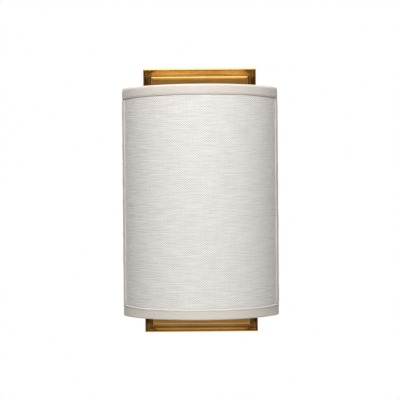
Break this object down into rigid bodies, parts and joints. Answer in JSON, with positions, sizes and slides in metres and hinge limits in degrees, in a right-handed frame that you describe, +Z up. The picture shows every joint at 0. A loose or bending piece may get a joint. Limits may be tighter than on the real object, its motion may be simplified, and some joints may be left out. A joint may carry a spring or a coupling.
{
  "type": "wall light",
  "caption": "Wall light with a stepped rectangular antique brass backplate, a curved linen half shade and candelabra bulbs.",
  "frame": {"origin": "centre of the backplate on the wall, midway between the two junction box screw slots of the mounting strap", "axes": "+Z up along the backplate's long side, +Y into the wall, +X to the right as seen from the room; the shade stands out towards -Y"},
  "size_m": [0.2092, 0.1016, 0.3556],
  "materials": {
    "antique_brass": "antique, satin lacquer over brushed brass",
    "linen": "slubbed off-white linen",
    "tape": "folded linen tape",
    "styrene": "matt white backing sheet",
    "frame_wire": "white powder coat",
    "zinc_steel": "zinc plated",
    "plain_brass": "turned, lacquered",
    "phenolic": "moulded",
    "shell_brass": "bright pressed sheet",
    "bulb_glass": "inside frosted",
    "cap_nickel": "nickel plated",
    "black_insulator": "moulded",
    "bushing_nylon": "moulded nylon",
    "lead_black": "extruded insulation",
    "lead_white": "extruded insulation",
    "connector_orange": "moulded",
    "ground_green": "dyed green"
  },
  "bodies": {
    "root": {"backplate_frame": "antique_brass", "backplate_panel": "antique_brass", "mounting_strap": "zinc_steel", "ground_screw": "ground_green", "canopy_studs": "zinc_steel", "strap_lock_nuts": "zinc_steel", "cap_nuts": "plain_brass", "upper_shade_arm": "antique_brass", "lower_shade_arm": "antique_brass", "upper_arm_stud": "zinc_steel", "lower_arm_stud": "zinc_steel", "panel_screws": "zinc_steel", "panel_nuts": "zinc_steel", "lamp_bracket": "zinc_steel", "left_lamp_holder": "phenolic", "right_lamp_holder": "phenolic", "left_screw_shell": "shell_brass", "right_screw_shell": "shell_brass", "centre_contacts": "shell_brass", "holder_nipples": "zinc_steel", "nipple_nuts": "zinc_steel", "wire_bushing": "bushing_nylon", "live_leads": "lead_black", "neutral_leads": "lead_white", "wire_connectors": "connector_orange"},
    "shade": {"top_ring": "frame_wire", "bottom_ring": "frame_wire", "left_side_wire": "frame_wire", "right_side_wire": "frame_wire", "upper_crossbar": "frame_wire", "lower_crossbar": "frame_wire", "shade_liner": "styrene", "shade_linen": "linen", "top_trim": "tape", "bottom_trim": "tape", "left_edge_binding": "tape", "right_edge_binding": "tape"},
    "upper_nut": {"upper_thumb_nut": "plain_brass"},
    "lower_nut": {"lower_thumb_nut": "plain_brass"},
    "left_bulb": {"left_bulb_glass": "bulb_glass", "left_bulb_cap": "cap_nickel", "left_bulb_tip": "black_insulator"},
    "right_bulb": {"right_bulb_glass": "bulb_glass", "right_bulb_cap": "cap_nickel", "right_bulb_tip": "black_insulator"}
  },
  "joints": [
    {"name": "shade_slide", "type": "slide", "parent": "root", "child": "shade", "axis": [0, -1, 0], "range_m": [0, 0.08]},
    {"name": "upper_nut_turn", "type": "hinge", "parent": "root", "child": "upper_nut", "pos_m": [0, -0.0344, 0.1397], "axis": [0, 0, 1], "range_deg": [0, 4200]},
    {"name": "lower_nut_turn", "type": "hinge", "parent": "root", "child": "lower_nut", "pos_m": [0, -0.0344, -0.1429], "axis": [0, 0, -1], "range_deg": [0, 4200]},
    {"name": "left_bulb_turn", "type": "hinge", "parent": "root", "child": "left_bulb", "pos_m": [-0.038, -0.045, -0.0695], "axis": [0, 0, 1], "range_deg": [0, 1800]},
    {"name": "right_bulb_turn", "type": "hinge", "parent": "root", "child": "right_bulb", "pos_m": [0.038, -0.045, -0.0695], "axis": [0, 0, 1], "range_deg": [0, 1800]}
  ]
}
